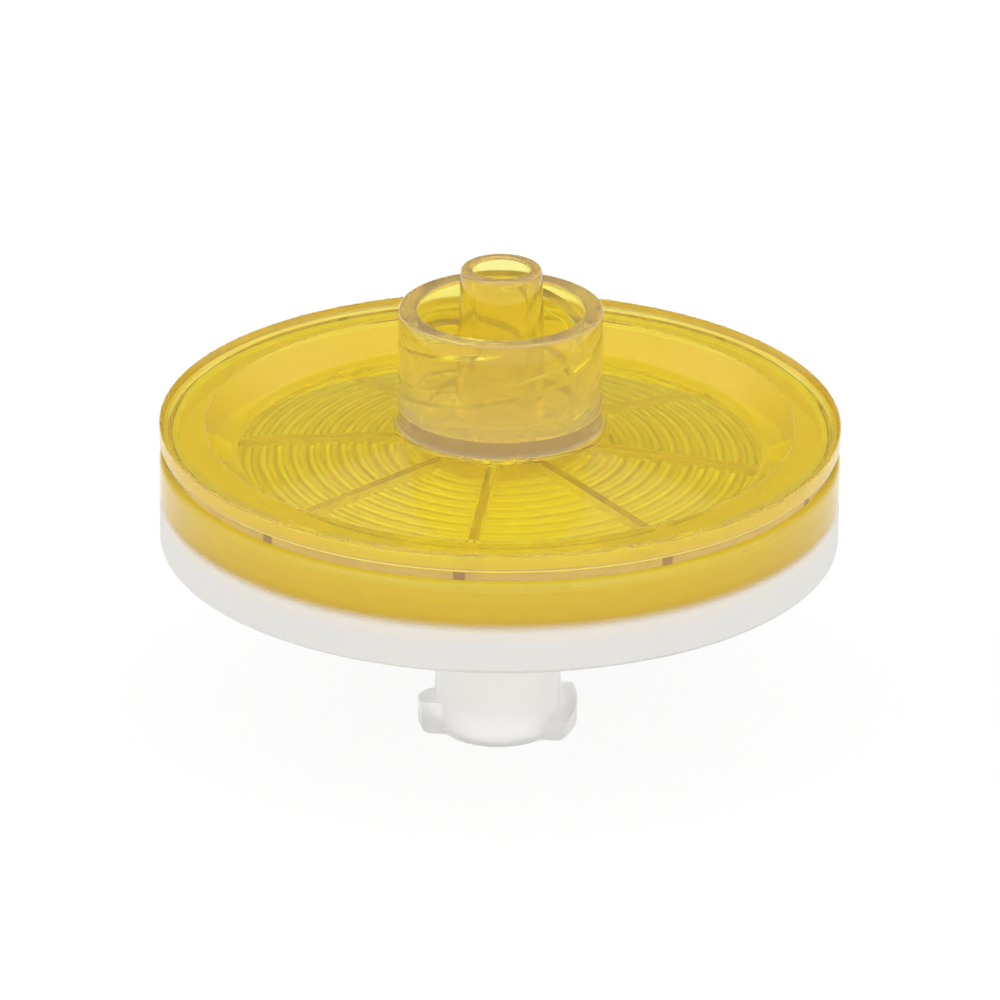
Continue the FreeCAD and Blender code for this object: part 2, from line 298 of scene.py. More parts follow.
def new_piece(name, points, faces, slots, materials, sharp=50.0, merge=1e-4):
    """A mesh object from whole arrays of points and quads. slots gives each
    quad's material. Points nearer than merge millimetres become one, which
    drops quads of no width, and edges that bend more than sharp degrees stay
    crisp."""
    mesh = bpy.data.meshes.new(name)
    mesh.vertices.add(len(points))
    mesh.vertices.foreach_set("co", points.astype(np.float32).ravel())
    mesh.loops.add(faces.size)
    mesh.loops.foreach_set("vertex_index", faces.astype(np.int32).ravel())
    mesh.polygons.add(len(faces))
    mesh.polygons.foreach_set("loop_start", np.arange(0, faces.size, 4, dtype=np.int32))
    mesh.polygons.foreach_set("material_index", slots.astype(np.int32))
    mesh.update(calc_edges=True)
    work = bmesh.new()
    work.from_mesh(mesh)
    bmesh.ops.remove_doubles(work, verts=work.verts, dist=merge * MM)
    bmesh.ops.dissolve_degenerate(work, edges=work.edges, dist=merge * MM)
    work.to_mesh(mesh)
    work.free()
    mesh.shade_smooth()
    mesh.set_sharp_from_angle(angle=math.radians(sharp))
    for material in materials:
        mesh.materials.append(material)
    piece = bpy.data.objects.new(name, mesh)
    bpy.context.scene.collection.objects.link(piece)
    return piece


# ------------------------------------------------------------------ materials

AMBER_IOR = 1.5
# How far across one swirl of the amber melt is.
MELT_SWIRL = 0.8


def linear(hex_value):
    """An sRGB hex value as linear red, green, blue and full alpha."""
    srgb = np.array([int(hex_value[i : i + 2], 16) for i in (0, 2, 4)]) / 255
    rgb = np.where(srgb <= 0.04045, srgb / 12.92, ((srgb + 0.055) / 1.055) ** 2.4)
    return (*rgb, 1.0)


def add_node(tree, kind, inputs=None, **settings):
    """Adds one node. inputs maps a socket's name or number to a value or to
    the output socket that feeds it, and settings are the node's own."""
    node = tree.nodes.new(kind)
    for name, setting in settings.items():
        setattr(node, name, setting)
    for name, given in (inputs or {}).items():
        if isinstance(given, bpy.types.NodeSocket):
            tree.links.new(given, node.inputs[name])
        else:
            node.inputs[name].default_value = given
    return node


def new_material(name):
    """An empty node material and its tree."""
    material = bpy.data.materials.new(name)
    material.use_nodes = True
    material.node_tree.nodes.clear()
    return material, material.node_tree


def ramp(tree, value, low, high):
    """Rises from 0 at low to 1 at high, both in millimetres, or falls if high
    is the lower."""
    return add_node(
        tree, "ShaderNodeMapRange",
        {"Value": value, "From Min": low * MM, "From Max": high * MM},
    ).outputs["Result"]


def maths(tree, operation, *values):
    """The result of one operation on values."""
    return add_node(
        tree, "ShaderNodeMath", dict(enumerate(values)), operation=operation
    ).outputs[0]


def both(tree, first, second):
    """The product of two values."""
    return maths(tree, "MULTIPLY", first, second)


def blend(tree, factor, first, second):
    """A colour between two, by a factor."""
    return add_node(
        tree, "ShaderNodeMix", {"Factor": factor, 6: first, 7: second}, data_type="RGBA"
    ).outputs[2]


def own_place(tree):
    """The place on the piece, in metres."""
    return add_node(tree, "ShaderNodeTexCoord").outputs["Object"]


def split(tree, place):
    """A place's X, Y and Z, by name."""
    return add_node(tree, "ShaderNodeSeparateXYZ", {"Vector": place}).outputs


def noise(tree, place, size, detail=3.0):
    """A soft noise from 0 to 1, whose marks are size millimetres across."""
    return add_node(
        tree, "ShaderNodeTexNoise",
        {"Vector": place, "Scale": 1 / (size * MM), "Detail": detail},
    ).outputs["Fac"]


def sheenless(tree, colour, roughness, clearness=0.0):
    """Ends a tree in amber plastic with no sheen of its own, for faces that
    are seen through the clear ones."""
    surface = add_node(
        tree, "ShaderNodeBsdfPrincipled",
        {
            "Base Color": colour,
            "Roughness": roughness,
            "IOR": AMBER_IOR,
            "Specular IOR Level": 0.0,
            "Transmission Weight": clearness,
        },
    )
    add_node(tree, "ShaderNodeOutputMaterial", {"Surface": surface.outputs["BSDF"]})


# Where the clear amber plastic changes its look, partly by painted shade, a
# painted highlight and a painted reflection: for each part, where the change
# begins and where it is whole. Heights are over the flange's top.
COLLAR_RADII, COLLAR_HEIGHTS = (5.06, 4.98), (-0.05, 0.0)
COLLAR_SHADE_HEIGHTS = (6.5, 1.0)
ROOT_SHADE_RADII, ROOT_SHADE_HEIGHTS = (4.55, 4.65), (1.03, 0.97)
EDGE_RADII, EDGE_HEIGHTS = (16.2, 16.26), (-0.85, -0.81)
SIDE_HEIGHTS = (0.13, 0.06)
SHADE_LINE_HEIGHTS = (-0.5, -0.54)
FOOT_HIGHLIGHT_HEIGHTS = (-0.62, -0.66)
RIM_REFLECTION_RADII, RIM_REFLECTION_HEIGHTS = (3.7, 3.9), (5.82, 5.9)
LIP_REFLECTION_HEIGHTS = (7.86, 7.98)


def amber_plastic(flange):
    """Amber-tinted styrene copolymer, injection moulded in a polished tool.
    flange is the height of the flange's top.

    The dye takes out blue within a millimetre and hardly any green, so thin
    lips and the plate, many times thicker, have nearly the same yellow. A
    slight haze in the melt shows the surface itself in that yellow. Painted
    shade dulls the collar towards its root and lines the flange's edge, whose
    foot has a painted highlight, and the collar's rim and the taper's lip
    carry a painted reflection."""
    material, tree = new_material("amber_styrene_moulded")
    place = own_place(tree)
    axes = split(tree, place)
    flat = add_node(tree, "ShaderNodeVectorMath", {0: place, 1: (1, 1, 0)}, operation="MULTIPLY")
    radius = add_node(
        tree, "ShaderNodeVectorMath", {0: flat.outputs["Vector"]}, operation="LENGTH"
    ).outputs["Value"]

    def across(radii):
        return ramp(tree, radius, *radii)

    def over(heights):
        return ramp(tree, axes["Z"], flange + heights[0], flange + heights[1])

    # Painted shade: the haze grows and turns mauve down the collar, and is darkest
    # in the solid ring at its root, where the clear part's tint darkens too.
    collar = both(tree, across(COLLAR_RADII), over(COLLAR_HEIGHTS))
    collar_shade = both(tree, collar, over(COLLAR_SHADE_HEIGHTS))
    root = both(tree, collar, both(tree, over(ROOT_SHADE_HEIGHTS), across(ROOT_SHADE_RADII)))
    # The flange's edge is matt yellow above, with a brown line of painted shade
    # where its lower round starts to turn down, and a painted highlight on the foot
    # below it, where the round faces the white floor.
    edge = both(tree, across(EDGE_RADII), over(EDGE_HEIGHTS))
    side = both(tree, edge, over(SIDE_HEIGHTS))
    brown = both(tree, side, over(SHADE_LINE_HEIGHTS))
    foot = both(tree, side, over(FOOT_HIGHLIGHT_HEIGHTS))
    # Painted reflection of the white tent, a pale mauve sheen, on the collar's rim
    # and on the taper's lip.
    rim = both(tree, over(RIM_REFLECTION_HEIGHTS), across(RIM_REFLECTION_RADII))
    rim_reflection = maths(tree, "MAXIMUM", rim, over(LIP_REFLECTION_HEIGHTS))
    # Flow marks about 3 mm long, far shallower than they are wide.
    flow = noise(tree, place, 3.0, detail=2.0)
    gloss = add_node(
        tree, "ShaderNodeMapRange", {"Value": flow, "To Min": 0.04, "To Max": 0.09}
    )
    waves = add_node(
        tree, "ShaderNodeBump", {"Height": flow, "Strength": 0.01, "Distance": 0.05 * MM}
    )
    shared = {
        "Roughness": gloss.outputs["Result"],
        "IOR": AMBER_IOR,
        "Normal": waves.outputs["Normal"],
    }
    clear = add_node(
        tree, "ShaderNodeBsdfPrincipled",
        {
            **shared,
            # Painted shade: the clear part's tint darkens at the collar's root.
            "Base Color": blend(tree, root, (1.0, 0.985, 0.8, 1), (0.5, 0.46, 0.38, 1)),
            "Transmission Weight": 1.0,
        },
    )
    # The haze's colour, part by part, and then its share of the surface: painted
    # shade down the collar, at its root and in a line on the flange's edge, a
    # painted highlight on the edge's foot, and a painted reflection on the rim
    # and lip.
    colour = (0.86, 0.66, 0.3, 1)
    for part, tone in (
        (collar_shade, (0.76, 0.66, 0.48, 1)),
        (side, (0.68, 0.5, 0.055, 1)),
        (brown, (0.55, 0.4, 0.14, 1)),
        (foot, (1.0, 0.88, 0.2, 1)),
        (rim_reflection, (0.66, 0.55, 0.55, 1)),
        (root, (0.37, 0.3, 0.27, 1)),
    ):
        colour = blend(tree, part, colour, tone)
    share = 0.06
    for part, more in ((collar_shade, 0.24), (rim_reflection, 0.1), (root, 0.2), (side, 0.5), (foot, 0.2)):
        share = maths(tree, "MULTIPLY_ADD", part, more, share)
    haze = add_node(tree, "ShaderNodeBsdfPrincipled", {**shared, "Base Color": colour})
    mixed = add_node(
        tree, "ShaderNodeMixShader", {0: share, 1: clear.outputs[0], 2: haze.outputs[0]}
    )
    dye = add_node(
        tree, "ShaderNodeVolumeAbsorption",
        {"Color": (0.9985, 0.992, 0.41, 1.0), "Density": 2.0 / MM},
    )
    add_node(
        tree, "ShaderNodeOutputMaterial",
        {"Surface": mixed.outputs[0], "Volume": dye.outputs["Volume"]},
    )
    return material


def swirled(name, first, second, roughness, clearness, size=MELT_SWIRL):
    """Amber plastic whose melt swirls, size millimetres across, run between
    two colours."""
    material, tree = new_material(name)
    swirl = noise(tree, own_place(tree), size)
    sheenless(tree, blend(tree, swirl, first, second), roughness, clearness)
    return material


def amber_underside():
    """The amber plastic's lower faces where they lie on the white membrane
    and the white floor. They scatter light back up through the plate."""
    return swirled(
        "amber_styrene_on_membrane", (0.99, 0.96, 0.36, 1), (1.0, 0.985, 0.42, 1), 0.2, 0.55
    )


def amber_seat():
    """The amber plastic's skirt and plug, pressed on white plastic all round.
    Hardly any light gets out there, so they look bright through the flange."""
    return swirled(
        "amber_styrene_seated", (0.98, 0.95, 0.31, 1), (0.99, 0.975, 0.36, 1), 0.4, 0.0
    )


def amber_channel():
    """The drain channels' roofs, clear where the rest of the face is hazed by
    the membrane. Light that is trapped past them shows as thin brown lines."""
    return swirled(
        "amber_styrene_channel", (0.95, 0.88, 0.42, 1), (1.0, 0.95, 0.5, 1), 0.06, 0.85
    )


# Where the weld turns brighter: at its foot, and at its shoulder, where the
# brightness is a painted highlight of the light on the wall's top.
WELD_FOOT_HEIGHTS = (13.15, 12.9)
WELD_HIGHLIGHT_HEIGHTS = (13.95, 14.2)


def amber_weld():
    """Amber plastic bonded to the white wall's inner face, seen through the
    clear wall as an even, matt yellow that is brighter at its foot and has a
    painted highlight along its shoulder."""
    material, tree = new_material("amber_styrene_weld")
    place = own_place(tree)
    axes = split(tree, place)
    swirl = noise(tree, place, MELT_SWIRL)
    even = blend(tree, swirl, (0.88, 0.67, 0.036, 1), (0.94, 0.72, 0.046, 1))
    at_foot = ramp(tree, axes["Z"], *WELD_FOOT_HEIGHTS)
    foot = blend(tree, at_foot, even, (0.96, 0.73, 0.035, 1))
    # Painted highlight: the weld's top turns pale where the wall's shoulder above it catches the
    # light.
    shoulder_highlight = ramp(tree, axes["Z"], *WELD_HIGHLIGHT_HEIGHTS)
    shoulder = blend(tree, shoulder_highlight, foot, (1.0, 0.88, 0.1, 1))
    sheenless(tree, shoulder, 0.6)
    return material


# Half the angle of a dark spot: where it fades out, and where it is whole.
DARK_SPOT_SPREAD = (math.radians(1.1), math.radians(0.9))


def amber_seam(mark_count):
    """The slot under the flange, brown as painted shade of the groove there, and
    darker in spots two degrees long and evenly spaced."""
    material, tree = new_material("amber_styrene_seam")
    place = own_place(tree)
    axes = split(tree, place)
    turn = maths(tree, "ARCTAN2", axes["X"], axes["Y"])
    # The angle from the nearest spot's middle.
    away = maths(tree, "PINGPONG", turn, math.pi / mark_count)
    mark = add_node(
        tree, "ShaderNodeMapRange",
        {"Value": away, "From Min": DARK_SPOT_SPREAD[0], "From Max": DARK_SPOT_SPREAD[1]},
    ).outputs["Result"]
    swirl = noise(tree, place, MELT_SWIRL)
    # Painted shade: the groove under the flange, swirled brown.
    groove_shade = blend(tree, swirl, (0.58, 0.38, 0.16, 1), (0.7, 0.48, 0.18, 1))
    sheenless(tree, blend(tree, mark, groove_shade, (0.33, 0.2, 0.13, 1)), 0.15, 0.45)
    return material


def amber_flash():
    """Torn flash along the flange's edges: thin, and swirled between brown
    and bright yellow."""
    return swirled(
        "amber_styrene_flash", (0.4, 0.27, 0.08, 1), (1.0, 0.92, 0.45, 1), 0.2, 0.3, size=0.5
    )


# The hub's colour changes to the disc's greyer one, a painted shade, between
# these heights.
DISC_HEIGHTS = (9.8, 10.3)


def milky_plastic(tint, milky_below, clear_above):
    """Natural methacrylate copolymer, injection moulded. Thick or hollow
    parts look milky, and the wall that the outlet half is pressed into looks
    clear, so the yellow shows through with a soft lower edge."""
    material, tree = new_material("milky_methacrylate_moulded")
    place = own_place(tree)
    axes = split(tree, place)
    # Faint upright streaks, about 1 mm apart, left by the tool's polish.
    stretch = add_node(
        tree, "ShaderNodeMapping", {"Vector": place, "Scale": (1.0, 1.0, 0.12)}
    )
    streaks = noise(tree, stretch.outputs["Vector"], 1.0)
    # The hollow hub passes more light than the solid disc above it, and the disc
    # is painted greyer than the hub, as painted shade.
    disc = ramp(tree, axes["Z"], *DISC_HEIGHTS)
    body = add_node(
        tree, "ShaderNodeMapRange", {"Value": disc, "To Min": 0.8, "To Max": 0.25}
    )
    edge = {"Value": axes["Z"], "From Min": milky_below, "From Max": clear_above}
    clear = add_node(
        tree, "ShaderNodeMapRange",
        {**edge, "To Min": body.outputs["Result"], "To Max": 1.0},
        interpolation_type="SMOOTHSTEP",
    )
    frosting = add_node(
        tree, "ShaderNodeMapRange", {**edge, "To Min": 0.4, "To Max": 0.06},
        interpolation_type="SMOOTHSTEP",
    )
    relief = add_node(
        tree, "ShaderNodeBump",
        {"Height": streaks, "Strength": 0.08, "Distance": 0.05 * MM},
    )
    surface = add_node(
        tree, "ShaderNodeBsdfPrincipled",
        {
            # Painted shade: the solid disc greyer than the hub.
            "Base Color": blend(tree, disc, linear(tint), linear("E6E5E2")),
            "Roughness": frosting.outputs["Result"],
            "IOR": 1.49,
            "Transmission Weight": clear.outputs["Result"],
            "Normal": relief.outputs["Normal"],
        },
    )
    add_node(tree, "ShaderNodeOutputMaterial", {"Surface": surface.outputs["BSDF"]})
    return material


def membrane_film():
    """Cast polymer membrane: matt white, with pores far too fine to see. The
    pattern is drawn at 0.25 mm, coarse enough to show."""
    material, tree = new_material("cast_membrane_matt")
    pores = noise(tree, own_place(tree), 0.25, detail=4.0)
    relief = add_node(
        tree, "ShaderNodeBump",
        {"Height": pores, "Strength": 0.2, "Distance": 0.02 * MM},
    )
    surface = add_node(
        tree, "ShaderNodeBsdfPrincipled",
        {
            "Base Color": blend(tree, pores, linear("F6F6F0"), linear("FDFDFA")),
            "Roughness": 0.85,
            "Normal": relief.outputs["Normal"],
        },
    )
    add_node(tree, "ShaderNodeOutputMaterial", {"Surface": surface.outputs["BSDF"]})
    return material


# --------------------------------------------------------------- outlet shell

# The moulding's turned section, in millimetres, as in the CAD part. Only here
# are the raised lip, WELD_SEAM, which keeps two faces apart, and the rounds of
# the edges that the CAD part leaves sharp or chamfered.
FLANGE_WIDTH = 2.23
LIP_WIDTH = 0.82
FLANGE_THICK = 0.8
FLANGE_ROUND = 0.3
LIP_ROUND = 0.06
EDGE_ROUND = 0.04
WELD_INSET = 0.37
WELD_SEAM = 0.02
WELD_ROUND = 0.08
PLUG_WALL = 0.9
SKIRT_WIDTH = 1.95
SKIRT_ROUND = 0.1
SEAL_WIDTH = 0.85
RIB_MARGIN = 0.15
RIB_LAND = 0.39
RIB_HUB_R = 3.2
RIB_ROUND = 0.06
RECESS_DROP = 1.2
RECESS_RUN = 1.4
RECESS_ROUND = 0.3
COLLAR_BORE_R = 4.025
COLLAR_WALL = 0.91
COLLAR_FLOOR = 0.75
COLLAR_FILLET = 0.42
FOOT_LAND = 0.08
FOOT_ROUND = 0.1
MOUTH_ROUND = 0.16
TIP_R = 1.965
TIP_WALL = 0.585
TIP_ROUND = 0.28
BORE_ROUND = 0.18
BORE_R = 1.0
BORE_LAND = 0.5
TAPER_FOOT_ROUND = 0.15
LUER_TAPER = 0.06

# The longest run between two rows of the section, inside and outside.
INNER_ROW = 1.5
OUTER_ROW = 1.2

# The collar's thread: two ridges, right-hand, each a trapezium in section.
THREAD_STARTS = 2
RIDGE_FOOT = 0.9
RIDGE_CREST = 0.6
THREAD_FRONT_ANGLE = math.radians(-83.4)
THREAD_FRONT_HEIGHT = 3.13
THREAD_RUNOUT = (5.2, 5.7)
MOUTH_FADE = 0.25
THREAD_ROW = 0.05

# Columns round the axis: for each drain channel, some across it and the rest
# between it and the next.
CHANNEL_COLUMNS = 5
SECTOR_COLUMNS = 32
WALL_STEP = 0.01

# How near a face a corner lies that is counted as on it, and how far out of
# the bore the underside's plastic starts.
ON_FACE = 1e-3
BORE_EDGE = 0.1


def flange_top(settings):
    """Height of the flange's flat top."""
    return TIP_TOP - (settings.collar_height + settings.tip_reach) / MM


def column_angles(radius, ribbed, settings):
    """The angle of every column at each radius, and which columns lie in a
    drain channel. On the ribbed rows, the columns across a channel of width w
    fan by arcsin(w / 2 radius) each side of its middle, so that its walls
    stay parallel, and the rest share the gap to the next channel evenly. On
    the other rows, all columns are evenly spaced."""
    count = settings.channel_count
    sector = 2 * math.pi / count
    half = np.arcsin(settings.channel_width / MM / 2 / radius)[:, None]
    skip = (WALL_STEP / radius)[:, None]
    across = np.linspace(-1, 1, CHANNEL_COLUMNS)[None, :] * half
    along = np.linspace(0, 1, SECTOR_COLUMNS - CHANNEL_COLUMNS)[None, :]
    between = half + skip + (sector - 2 * half - 2 * skip) * along
    fanned = np.hstack([across, between])
    # The middle one of a channel's columns lies at the channel's middle.
    even = (np.arange(SECTOR_COLUMNS) - CHANNEL_COLUMNS // 2) * sector / SECTOR_COLUMNS
    one = np.where(ribbed[:, None], fanned, even)
    starts = np.arange(count) * sector
    angles = (starts[None, :, None] + one[:, None, :]).reshape(len(radius), -1)
    inside = np.arange(SECTOR_COLUMNS) < CHANNEL_COLUMNS
    return angles, np.tile(inside, count)


def thread_middle(angle, settings):
    """Height above the flange of the middle of one ridge at each angle: it
    climbs by the lead in each turn."""
    turns = (angle - THREAD_FRONT_ANGLE) / (2 * math.pi)
    return THREAD_FRONT_HEIGHT + settings.thread_lead / MM * turns


def wall_levels(angle, settings):
    """Heights above the flange of the rows on the collar's inner wall, and
    how many rows a turn climbs. The rows climb with the ridges, THREAD_ROW
    apart, so that the ridges' edges lie along rows, and those that would pass
    the floor or the mouth stop there."""
    mouth = settings.collar_height / MM - MOUTH_ROUND
    turn = round(settings.thread_lead / MM / THREAD_ROW)
    start = thread_middle(angle[0], settings)
    low = math.floor((COLLAR_FLOOR - start) / THREAD_ROW) - turn
    high = math.ceil((mouth - start) / THREAD_ROW)
    steps = np.arange(low, high + 1)[:, None] * THREAD_ROW
    levels = thread_middle(angle, settings)[None, :] + steps
    return np.clip(levels, COLLAR_FLOOR, mouth), turn


def thread_rise(level, angle, settings):
    """How far the threads stand out of the collar's wall, level above the
    flange. The second ridge runs half a turn from the first. The rise falls
    straight from the full height at the crest's edge to nothing at the
    foot's, and runs out below the collar's mouth."""
    pitch = settings.thread_lead / MM / THREAD_STARTS
    offset = (level - thread_middle(angle, settings) + pitch / 2) % pitch - pitch / 2
    flank = (RIDGE_FOOT / 2 - np.abs(offset)) / (RIDGE_FOOT / 2 - RIDGE_CREST / 2)
    full = settings.thread_height / MM * np.clip(flank, 0, 1)
    ends = 1 - smooth_rise(*THREAD_RUNOUT, level - offset)
    mouth = settings.collar_height / MM - MOUTH_ROUND
    return full * ends * (1 - smooth_rise(mouth - MOUTH_FADE, mouth, level))


def outlet_profiles(settings):
    """The section as three stretches, each an array of radius and height: the
    bore, lip, taper and the collar's floor; the outside from the collar's
    mouth to the skirt; and the ribbed face back to the bore. The collar's
    inner wall goes between the first two."""
    flange = flange_top(settings)
    collar_top = flange + settings.collar_height / MM
    floor = flange + COLLAR_FLOOR
    collar_r = COLLAR_BORE_R + COLLAR_WALL
    foot_r = collar_r + COLLAR_FILLET + FOOT_LAND
    recess_r = HOUSING_R - FLANGE_WIDTH
    plug_r = HOUSING_R - PLUG_WALL
    skirt_r = plug_r - SKIRT_WIDTH
    field_r = MEMBRANE_R - SEAL_WIDTH - RIB_MARGIN
    taper_foot_r = TIP_R + LUER_TAPER / 2 * (TIP_TOP - floor)

    inner = rounded([
        (BORE_R, RIB_FACE, 0),
        (TIP_R - TIP_WALL, TIP_TOP, BORE_ROUND),
        (TIP_R, TIP_TOP, TIP_ROUND),
        (taper_foot_r, floor, TAPER_FOOT_ROUND),
        (COLLAR_BORE_R, floor, 0),
    ])
    outer = rounded([
        (COLLAR_BORE_R, collar_top - MOUTH_ROUND * 1.2, 0),
        (COLLAR_BORE_R, collar_top, MOUTH_ROUND),
        (collar_r, collar_top, MOUTH_ROUND),
        (collar_r, flange, COLLAR_FILLET),
        (foot_r, flange, FOOT_ROUND),
        (recess_r - RECESS_RUN, flange - RECESS_DROP, RECESS_ROUND),
        (recess_r, flange, EDGE_ROUND),
        (HOUSING_R - LIP_WIDTH, flange, EDGE_ROUND),
        (HOUSING_R, flange + settings.lip_height / MM, LIP_ROUND),
        (HOUSING_R, flange - FLANGE_THICK, FLANGE_ROUND),
        (HOUSING_R - WELD_INSET, flange - FLANGE_THICK, WELD_ROUND),
        (HOUSING_R - WELD_INSET, WALL_TOP + WELD_SEAM, 0),
        (plug_r, WALL_TOP + WELD_SEAM, 0),
        (plug_r, SKIRT_BASE, SKIRT_ROUND),
        (skirt_r, SKIRT_BASE, 0),
        (skirt_r, RIB_FACE, 0),
        (field_r, RIB_FACE, 0),
    ])
    groove_top = RIB_FACE + settings.rib_height / MM
    pitch = settings.rib_pitch / MM
    corners = [(field_r, RIB_FACE, 0)]
    for index in range(int((field_r - RIB_HUB_R) / pitch)):
        high = field_r - 2 * WALL_STEP - index * pitch
        low = high - pitch + RIB_LAND
        corners += [
            (high, RIB_FACE, RIB_ROUND),
            (high, groove_top, RIB_ROUND),
            (low, groove_top, RIB_ROUND),
            (low, RIB_FACE, RIB_ROUND),
        ]
    corners += [(BORE_R + BORE_LAND, RIB_FACE, 0), (BORE_R, RIB_FACE, 0)]
    ribbed = rounded(corners, steps=1)
    inner = subdivided(held(inner), INNER_ROW)
    outer = subdivided(held(outer), OUTER_ROW)
    # Stretches that meet share a row, and the floor's guard row goes as well.
    return inner[1:-2], outer[1:], ribbed[1:]


def outlet_surface(settings):
    """The outlet half as one closed grid, profile rows by columns round the
    axis, and the row that each row meets after a turn. The collar's wall
    comes in by the thread's rise, and inside the ribbed field the columns of
    each channel lie at its ceiling."""
    inner, outer, ribbed = outlet_profiles(settings)
    even = column_angles(np.ones(1), np.zeros(1, bool), settings)[0][0]
    levels, climb = wall_levels(even, settings)
    wall = np.full((len(levels), 2), (COLLAR_BORE_R, 0.0))
    profile = np.vstack([inner, wall, outer, ribbed])
    under = np.arange(len(profile)) >= len(profile) - len(ribbed)
    angle, in_channel = column_angles(profile[:, 0], under, settings)
    radius = np.repeat(profile[:, :1], angle.shape[1], axis=1)
    height = np.repeat(profile[:, 1:], angle.shape[1], axis=1)

    flange = flange_top(settings)
    last = len(inner) + len(wall) - 1
    on_wall = slice(len(inner), last + 1)
    radius[on_wall] -= thread_rise(levels, angle[on_wall], settings)
    height[on_wall] = flange + levels
    met = np.arange(len(profile))
    met[on_wall] = np.minimum(met[on_wall] + climb, last)

    ceiling = RIB_FACE + settings.channel_depth / MM
    height[np.ix_(under, in_channel)] = ceiling
    return radius, height, angle, met


def whole_quads(mask):
    """Which quads of a closed grid have all four corners in mask."""
    below = np.roll(mask, -1, axis=0)
    return mask & below & np.roll(mask, -1, axis=1) & np.roll(below, -1, axis=1)


def outlet_slots(radius, height, settings):
    """Each quad's material: 1 on the ribbed face, 2 in the drain channels, 3
    on the seal, the skirt and the plug's wall, 4 in the slot under the
    flange, and 0 elsewhere."""
    neck_r = HOUSING_R - WELD_INSET
    inside = (radius > BORE_R + BORE_EDGE) & (radius < neck_r - ON_FACE)
    under = inside & (height < WALL_TOP + WELD_SEAM + ON_FACE)
    ceiling = RIB_FACE + settings.channel_depth / MM
    channel = under & (np.abs(height - ceiling) < ON_FACE)
    seated = under & (radius > MEMBRANE_R - SEAL_WIDTH - RIB_MARGIN - ON_FACE)
    slots = whole_quads(under).astype(int) + whole_quads(channel)
    slots = np.where(whole_quads(seated), 3, slots)
    flange_base = flange_top(settings) - FLANGE_THICK
    slot = (np.abs(radius - neck_r) < ON_FACE) & (height < flange_base)
    return np.where(whole_quads(slot), 4, slots).ravel()


class SYRINGE_FILTER_OT_outlet_shell(Operator):
    """Build the outlet half, with its collar thread, ribs and channels"""

    bl_idname = "syringe_filter.outlet_shell"
    bl_label = "Outlet shell"

    def execute(self, context):
        settings = context.scene.filter_outlet
        radius, height, angle, met = outlet_surface(settings)
        piece = new_piece(
            "outlet_shell_amber",
            turned_points(radius, height, angle),
            grid_faces(*radius.shape, met),
            outlet_slots(radius, height, settings),
            [
                amber_plastic(flange_top(settings)),
                amber_underside(),
                amber_channel(),
                amber_seat(),
                amber_seam(settings.dark_spot_count),
            ],
        )
        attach(piece, "root")
        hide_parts("outlet_shell")
        return {"FINISHED"}


# ----------------------------------------------------------------- weld flash

# The beads' points along and across, and the waves that they wander in. The
# least size is a share of the greatest, and the drift a share of wide.
FLASH_COLUMNS = 2400
FLASH_ROWS = 6
FLASH_SINES = 20
FLASH_WAVES = (40, 520)
FLASH_LEAST = 0.08
FLASH_DRIFT = 0.2

# Where the beads' middles lie: in from the flange's outer edge and under its
# lip, and out from the recess, whose bead is the lower one.
EDGE_BEAD_INSET = 0.07
EDGE_BEAD_SINK = 0.03
RIM_BEAD_OUTSET = 0.03
RIM_BEAD_SHARE = 0.6


def ragged_ring(radius, height, tall, wide, cover, seed):
    """A closed bead of flash along a circle: an ellipse in section, at its
    most 2 tall high and 2 wide across, whose size and place wander. The
    wander is a sum of sines with whole numbers of waves, so that the ring
    closes, and cover is where along it the bead starts to grow."""
    draw = np.random.default_rng(seed)
    angle = np.linspace(0, 2 * math.pi, FLASH_COLUMNS, endpoint=False)
    waves = draw.integers(*FLASH_WAVES, (2, FLASH_SINES))
    phases = draw.uniform(0, 2 * math.pi, (2, FLASH_SINES))
    sines = np.sin(waves[:, :, None] * angle + phases[:, :, None])
    size, drift = sines.sum(axis=1) / math.sqrt(FLASH_SINES / 2)
    size = np.clip((size - cover) / 2, FLASH_LEAST, 1)
    turn = np.linspace(2 * math.pi, 0, FLASH_ROWS, endpoint=False)[:, None]
    middle = radius + FLASH_DRIFT * wide * np.clip(drift, -2, 2)
    across = middle + wide * size**0.5 * np.cos(turn)
    return turned_points(across, height + tall * size * np.sin(turn), angle)


class SYRINGE_FILTER_OT_weld_flash(Operator):
    """Build the ragged flash on the flange's outer edge and recess rim"""

    bl_idname = "syringe_filter.weld_flash"
    bl_label = "Weld flash"

    def execute(self, context):
        flash = context.scene.filter_flash
        outlet = context.scene.filter_outlet
        flange = flange_top(outlet)
        lip = flange + outlet.lip_height / MM
        tall, wide = flash.height / MM, flash.width / MM
        edge_r = HOUSING_R - EDGE_BEAD_INSET
        rim_r = HOUSING_R - FLANGE_WIDTH + RIM_BEAD_OUTSET
        rings = [
            ragged_ring(edge_r, lip - EDGE_BEAD_SINK, tall, wide, cover=0.2, seed=3),
            ragged_ring(rim_r, flange, tall * RIM_BEAD_SHARE, wide, cover=0.5, seed=8),
        ]
        faces = grid_faces(FLASH_ROWS, FLASH_COLUMNS)
        piece = new_piece(
            "outlet_flash",
            np.vstack(rings),
            np.vstack([faces, faces + FLASH_ROWS * FLASH_COLUMNS]),
            np.zeros(2 * len(faces)),
            [amber_flash()],
        )
        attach(piece, "root")
        return {"FINISHED"}


# ------------------------------------------------------------------- membrane

MEMBRANE_ROUND = 0.03
MEMBRANE_ROW = 2.0
MEMBRANE_COLUMNS = 192
# The innermost row's radius. The merge below makes one point of that row.
AXIS_R = 1e-3


